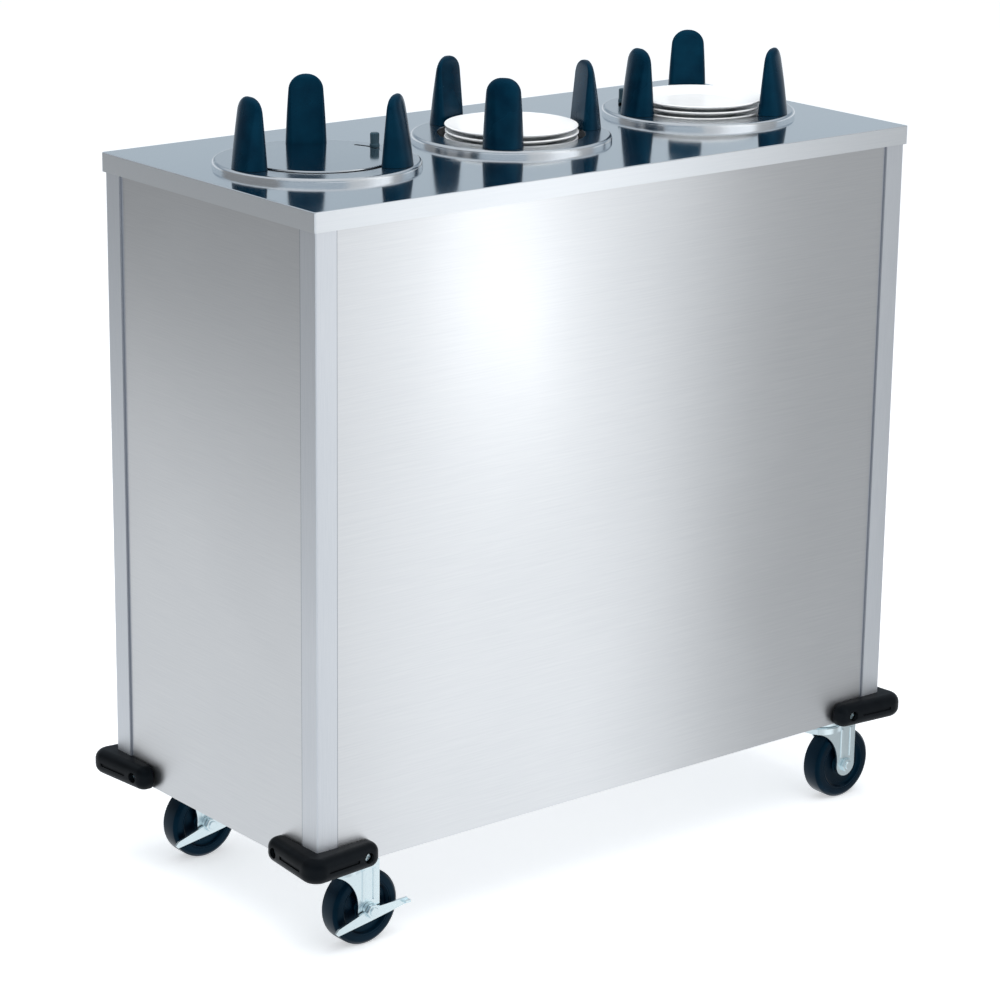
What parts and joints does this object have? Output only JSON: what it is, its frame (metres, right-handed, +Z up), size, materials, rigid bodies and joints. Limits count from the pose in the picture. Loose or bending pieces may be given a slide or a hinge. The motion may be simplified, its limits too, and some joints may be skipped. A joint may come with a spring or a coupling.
{
  "type": "plate dispenser cart",
  "caption": "Enclosed stainless steel cart on swivel casters with round self-levelling plate dispensers let into its deck, each with upright guides, and rubber corner bumpers.",
  "frame": {"origin": "on the floor under the middle of the cabinet", "axes": "+Z up; +X along the long side, towards the end without brakes; -Y out of the front panel"},
  "size_m": [1.0332, 0.5102, 1.0673],
  "materials": {
    "deck_steel": "satin",
    "cabinet_steel": "satin",
    "tube_steel": "satin",
    "spring_steel": "satin",
    "zinc": "satin",
    "guide_plastic": "satin",
    "black_plastic": "satin",
    "bumper_rubber": "satin",
    "wheel_rubber": "satin",
    "glazed_china": "gloss"
  },
  "bodies": {
    "cabinet": {"top_deck": "deck_steel", "front_posts": "cabinet_steel", "rear_posts": "cabinet_steel", "front_panel": "cabinet_steel", "rear_panel": "cabinet_steel", "left_end_panel": "cabinet_steel", "right_end_panel": "cabinet_steel", "base_pan": "cabinet_steel", "caster_channels": "zinc", "caster_bolts": "zinc", "caster_plates": "zinc", "kingpins": "zinc", "bumper_screws": "zinc", "left_front_bumper": "bumper_rubber", "left_rear_bumper": "bumper_rubber", "right_front_bumper": "bumper_rubber", "right_rear_bumper": "bumper_rubber", "left_flange": "deck_steel", "left_tube": "tube_steel", "left_springs": "spring_steel", "middle_flange": "deck_steel", "middle_tube": "tube_steel", "middle_springs": "spring_steel", "right_flange": "deck_steel", "right_tube": "tube_steel", "right_springs": "spring_steel"},
    "left_front_swivel": {"left_front_fork": "zinc", "left_front_axle": "zinc"},
    "left_front_wheel": {"left_front_wheel": "wheel_rubber"},
    "left_front_brake": {"left_front_brake_lever": "zinc"},
    "left_rear_swivel": {"left_rear_fork": "zinc", "left_rear_axle": "zinc"},
    "left_rear_wheel": {"left_rear_wheel": "wheel_rubber"},
    "left_rear_brake": {"left_rear_brake_lever": "zinc"},
    "right_front_swivel": {"right_front_fork": "zinc", "right_front_axle": "zinc"},
    "right_front_wheel": {"right_front_wheel": "wheel_rubber"},
    "right_rear_swivel": {"right_rear_fork": "zinc", "right_rear_axle": "zinc"},
    "right_rear_wheel": {"right_rear_wheel": "wheel_rubber"},
    "left_ring": {"left_adjusting_ring": "tube_steel", "left_knob": "black_plastic"},
    "left_guide_1": {"left_guide_1": "guide_plastic"},
    "left_guide_2": {"left_guide_2": "guide_plastic"},
    "left_guide_3": {"left_guide_3": "guide_plastic"},
    "left_carrier": {"left_carrier": "deck_steel"},
    "middle_ring": {"middle_adjusting_ring": "tube_steel", "middle_knob": "black_plastic"},
    "middle_guide_1": {"middle_guide_1": "guide_plastic"},
    "middle_guide_2": {"middle_guide_2": "guide_plastic"},
    "middle_guide_3": {"middle_guide_3": "guide_plastic"},
    "middle_carrier": {"middle_carrier": "deck_steel", "middle_plates": "glazed_china"},
    "right_ring": {"right_adjusting_ring": "tube_steel", "right_knob": "black_plastic"},
    "right_guide_1": {"right_guide_1": "guide_plastic"},
    "right_guide_2": {"right_guide_2": "guide_plastic"},
    "right_guide_3": {"right_guide_3": "guide_plastic"},
    "right_carrier": {"right_carrier": "deck_steel", "right_plates": "glazed_china"}
  },
  "joints": [
    {"name": "left_front_swivel", "type": "hinge", "parent": "cabinet", "child": "left_front_swivel", "pos_m": [-0.423, -0.1815, 0.117], "axis": [0, 0, 1], "continuous": true},
    {"name": "left_front_brake", "type": "hinge", "parent": "left_front_swivel", "child": "left_front_brake", "pos_m": [-0.39, -0.2055, 0.0508], "axis": [0, 1, 0], "range_deg": [-2, 20]},
    {"name": "left_front_roll", "type": "hinge", "parent": "left_front_swivel", "child": "left_front_wheel", "pos_m": [-0.39, -0.1815, 0.0508], "axis": [0, 1, 0], "continuous": true},
    {"name": "left_rear_swivel", "type": "hinge", "parent": "cabinet", "child": "left_rear_swivel", "pos_m": [-0.423, 0.1815, 0.117], "axis": [0, 0, 1], "continuous": true},
    {"name": "left_rear_brake", "type": "hinge", "parent": "left_rear_swivel", "child": "left_rear_brake", "pos_m": [-0.39, 0.1575, 0.0508], "axis": [0, 1, 0], "range_deg": [-2, 20]},
    {"name": "left_rear_roll", "type": "hinge", "parent": "left_rear_swivel", "child": "left_rear_wheel", "pos_m": [-0.39, 0.1815, 0.0508], "axis": [0, 1, 0], "continuous": true},
    {"name": "right_front_swivel", "type": "hinge", "parent": "cabinet", "child": "right_front_swivel", "pos_m": [0.423, -0.1815, 0.117], "axis": [0, 0, 1], "continuous": true},
    {"name": "right_front_roll", "type": "hinge", "parent": "right_front_swivel", "child": "right_front_wheel", "pos_m": [0.456, -0.1815, 0.0508], "axis": [0, 1, 0], "continuous": true},
    {"name": "right_rear_swivel", "type": "hinge", "parent": "cabinet", "child": "right_rear_swivel", "pos_m": [0.423, 0.1815, 0.117], "axis": [0, 0, 1], "continuous": true},
    {"name": "right_rear_roll", "type": "hinge", "parent": "right_rear_swivel", "child": "right_rear_wheel", "pos_m": [0.456, 0.1815, 0.0508], "axis": [0, 1, 0], "continuous": true},
    {"name": "left_ring_turn", "type": "hinge", "parent": "cabinet", "child": "left_ring", "pos_m": [-0.319, 0.003, 0.972], "axis": [0, 0, 1], "range_deg": [0, 15]},
    {"name": "left_guide_1_slide", "type": "slide", "parent": "cabinet", "child": "left_guide_1", "axis": [0.4695, 0.8829, 0], "range_m": [0, 0.006]},
    {"name": "left_guide_2_slide", "type": "slide", "parent": "cabinet", "child": "left_guide_2", "axis": [-0.9994, -0.0349, 0], "range_m": [0, 0.006]},
    {"name": "left_guide_3_slide", "type": "slide", "parent": "cabinet", "child": "left_guide_3", "axis": [0.5299, -0.848, 0], "range_m": [0, 0.006]},
    {"name": "left_carrier_slide", "type": "slide", "parent": "cabinet", "child": "left_carrier", "axis": [0, 0, 1], "range_m": [-0.628, 0], "stiffness_N_per_m": 284.6, "springref_m": 0.0652, "deforming": ["left_springs"]},
    {"name": "middle_ring_turn", "type": "hinge", "parent": "cabinet", "child": "middle_ring", "pos_m": [-0.006, 0.003, 0.972], "axis": [0, 0, 1], "range_deg": [0, 15]},
    {"name": "middle_guide_1_slide", "type": "slide", "parent": "cabinet", "child": "middle_guide_1", "axis": [-0.2588, 0.9659, 0], "range_m": [0, 0.006]},
    {"name": "middle_guide_2_slide", "type": "slide", "parent": "cabinet", "child": "middle_guide_2", "axis": [-0.7071, -0.7071, 0], "range_m": [0, 0.006]},
    {"name": "middle_guide_3_slide", "type": "slide", "parent": "cabinet", "child": "middle_guide_3", "axis": [0.9659, -0.2588, 0], "range_m": [0, 0.006]},
    {"name": "middle_carrier_slide", "type": "slide", "parent": "cabinet", "child": "middle_carrier", "axis": [0, 0, 1], "range_m": [-0.535, 0.093], "stiffness_N_per_m": 284.6, "springref_m": 0.13119, "deforming": ["middle_springs"]},
    {"name": "right_ring_turn", "type": "hinge", "parent": "cabinet", "child": "right_ring", "pos_m": [0.323, 0.003, 0.972], "axis": [0, 0, 1], "range_deg": [0, 15]},
    {"name": "right_guide_1_slide", "type": "slide", "parent": "cabinet", "child": "right_guide_1", "axis": [-0.9986, 0.0523, 0], "range_m": [0, 0.006]},
    {"name": "right_guide_2_slide", "type": "slide", "parent": "cabinet", "child": "right_guide_2", "axis": [0.454, -0.891, 0], "range_m": [0, 0.006]},
    {"name": "right_guide_3_slide", "type": "slide", "parent": "cabinet", "child": "right_guide_3", "axis": [0.5446, 0.8387, 0], "range_m": [0, 0.006]},
    {"name": "right_carrier_slide", "type": "slide", "parent": "cabinet", "child": "right_carrier", "axis": [0, 0, 1], "range_m": [-0.539, 0.089], "stiffness_N_per_m": 284.6, "springref_m": 0.13119, "deforming": ["right_springs"]}
  ],
  "couplings": [
    {"joint": "left_guide_1_slide", "follows": "left_ring_turn", "m_per_rad": 0.022918},
    {"joint": "left_guide_2_slide", "follows": "left_ring_turn", "m_per_rad": 0.022918},
    {"joint": "left_guide_3_slide", "follows": "left_ring_turn", "m_per_rad": 0.022918},
    {"joint": "middle_guide_1_slide", "follows": "middle_ring_turn", "m_per_rad": 0.022918},
    {"joint": "middle_guide_2_slide", "follows": "middle_ring_turn", "m_per_rad": 0.022918},
    {"joint": "middle_guide_3_slide", "follows": "middle_ring_turn", "m_per_rad": 0.022918},
    {"joint": "right_guide_1_slide", "follows": "right_ring_turn", "m_per_rad": 0.022918},
    {"joint": "right_guide_2_slide", "follows": "right_ring_turn", "m_per_rad": 0.022918},
    {"joint": "right_guide_3_slide", "follows": "right_ring_turn", "m_per_rad": 0.022918}
  ]
}
